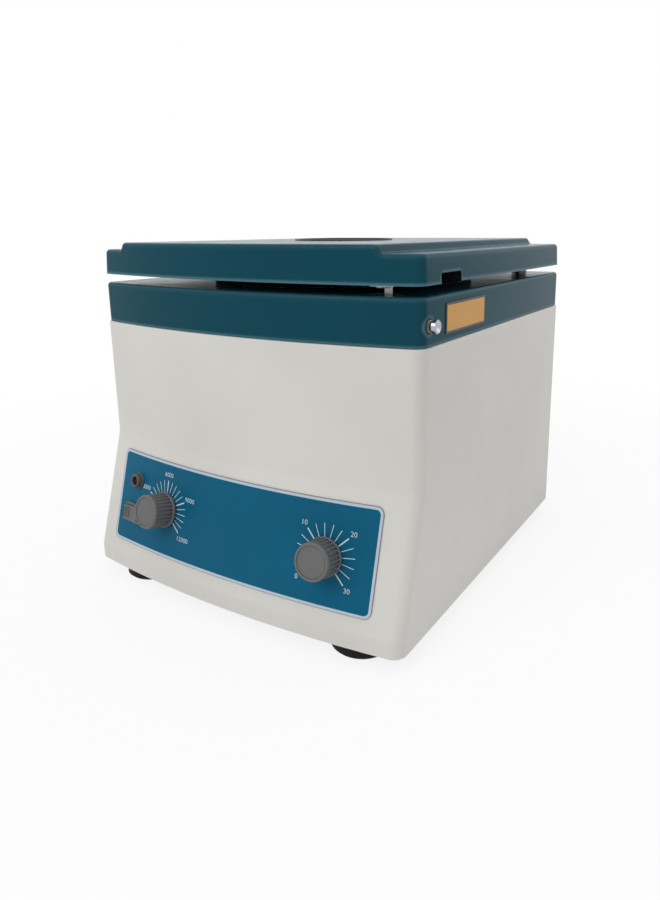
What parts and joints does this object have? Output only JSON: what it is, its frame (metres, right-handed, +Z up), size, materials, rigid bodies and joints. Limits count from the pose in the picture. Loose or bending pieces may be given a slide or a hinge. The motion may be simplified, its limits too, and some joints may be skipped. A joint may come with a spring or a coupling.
{
  "type": "hematocrit centrifuge",
  "caption": "Bench centrifuge for capillary blood tubes: hinged lid over a shallow chamber with a slotted rotor, sloping control front with speed and timer knobs.",
  "frame": {"origin": "on the bench, under the middle of the box round the whole object, so midway from the hinges' backs to the knobs' fronts", "axes": "+X to the object's right as seen by the user in front, +Y to the rear, +Z up"},
  "size_m": [0.2685, 0.3112, 0.2477],
  "materials": {
    "housing_white": "fine satin moulded surface",
    "teal_plastic": "semi-gloss moulded surface",
    "panel_blue": "printed blue overlay with a pale border",
    "knob_grey": "moulded grey, fine grain",
    "switch_grey": "moulded grey",
    "lamp_bezel": "brown-grey moulded bezel",
    "lamp_red": "dark red lens",
    "foot_rubber": "matt black",
    "seal_rubber": "matt black",
    "window_frame": "black moulded ring",
    "window_smoke": "smoked transparent pane",
    "liner_steel": "brushed sheet",
    "bowl_steel": "spun bowl, fine circular brushing",
    "hinge_black": "black oxide",
    "steel": "turned and ground",
    "zinc": "bright zinc plate",
    "chrome": "bright plated",
    "brass_sheet": "brushed lacquered sheet, bare",
    "rotor_aluminium": "turned and anodised",
    "cover_aluminium": "turned, satin",
    "cover_knob_black": "knurled black",
    "motor_steel": "grey paint",
    "core_steel": "varnished laminations",
    "black_plastic": "moulded black",
    "board_green": "solder-masked board",
    "component_blue": "sleeved components",
    "pan_paint": "grey powder coat"
  },
  "bodies": {
    "chassis": {"main_housing": "housing_white", "base_pan": "pan_paint", "feet": "foot_rubber", "foot_screws": "zinc", "pan_screws": "zinc", "top_frame": "teal_plastic", "frame_screws": "zinc", "hinge_base_leaves": "hinge_black", "hinge_pins": "steel", "latch_bush": "chrome", "latch_bracket": "zinc", "chamber_bowl": "bowl_steel", "bowl_gasket": "seal_rubber", "shaft_boot": "seal_rubber", "motor_can": "motor_steel", "motor_bells": "motor_steel", "motor_bearings": "steel", "brush_holders": "black_plastic", "motor_bridge": "zinc", "bridge_dampers": "foot_rubber", "motor_screws": "zinc", "control_panel": "panel_blue", "speed_potentiometer": "zinc", "timer_movement": "black_plastic", "panel_nuts": "zinc", "switch_frame": "switch_grey", "indicator_bezel": "lamp_bezel", "indicator_lens": "lamp_red", "control_board": "board_green", "board_components": "component_blue", "board_standoffs": "zinc", "power_inlet": "black_plastic", "inlet_screws": "zinc", "fuse_holder": "black_plastic", "side_plate": "brass_sheet"},
    "lid": {"lid_shell": "teal_plastic", "lid_liner": "liner_steel", "lid_seal": "seal_rubber", "window_ring": "window_frame", "window_pane": "window_smoke", "lid_screws": "zinc", "hinge_lid_leaves": "hinge_black", "latch_hook": "zinc"},
    "latch": {"latch_rod": "steel", "latch_knob": "chrome", "latch_spring": "steel"},
    "rotor": {"rotor": "rotor_aluminium", "rotor_cushion_ring": "seal_rubber", "rotor_nut": "steel", "motor_shaft": "steel", "motor_armature": "core_steel", "motor_fan": "black_plastic"},
    "rotor_cover": {"rotor_cover": "cover_aluminium"},
    "cover_knob": {"cover_knob": "cover_knob_black"},
    "speed_dial": {"speed_knob": "knob_grey", "speed_spindle": "steel"},
    "timer_dial": {"timer_knob": "knob_grey", "timer_spindle": "steel"},
    "rocker": {"power_rocker": "switch_grey"},
    "fuse_cap": {"fuse_cap": "black_plastic"}
  },
  "joints": [
    {"name": "lid_hinge", "type": "hinge", "parent": "chassis", "child": "lid", "pos_m": [0, 0.1513, 0.22095], "axis": [-1, 0, 0], "range_deg": [0, 100]},
    {"name": "latch_push", "type": "slide", "parent": "chassis", "child": "latch", "axis": [-1, 0, 0], "range_m": [0, 0.004], "stiffness_N_per_m": 400, "springref_m": -0.004, "deforming": ["latch_spring"]},
    {"name": "rotor_spin", "type": "hinge", "parent": "chassis", "child": "rotor", "pos_m": [0, 0.0091, 0.1899], "axis": [0, 0, 1], "continuous": true},
    {"name": "rotor_cover_lift", "type": "slide", "parent": "rotor", "child": "rotor_cover", "axis": [0, 0, 1], "range_m": [0, 0.026]},
    {"name": "cover_knob_turn", "type": "hinge", "parent": "rotor_cover", "child": "cover_knob", "pos_m": [0, 0.0091, 0.2088], "axis": [0, 0, 1], "continuous": true},
    {"name": "speed_knob_turn", "type": "hinge", "parent": "chassis", "child": "speed_dial", "pos_m": [-0.0575, -0.13585, 0.063], "axis": [0.0777, 0.9695, -0.2325], "range_deg": [0, 270]},
    {"name": "timer_knob_turn", "type": "hinge", "parent": "chassis", "child": "timer_dial", "pos_m": [0.0776, -0.13436, 0.0614], "axis": [-0.1037, 0.9649, -0.2413], "range_deg": [0, 270]},
    {"name": "power_rocker_tilt", "type": "hinge", "parent": "chassis", "child": "rocker", "pos_m": [-0.09219, -0.13648, 0.053], "axis": [-0.0301, -0.2475, -0.9684], "range_deg": [0, 16]},
    {"name": "fuse_cap_turn", "type": "hinge", "parent": "chassis", "child": "fuse_cap", "pos_m": [-0.048, 0.1468, 0.046], "axis": [0, 1, 0], "range_deg": [0, 90]}
  ]
}
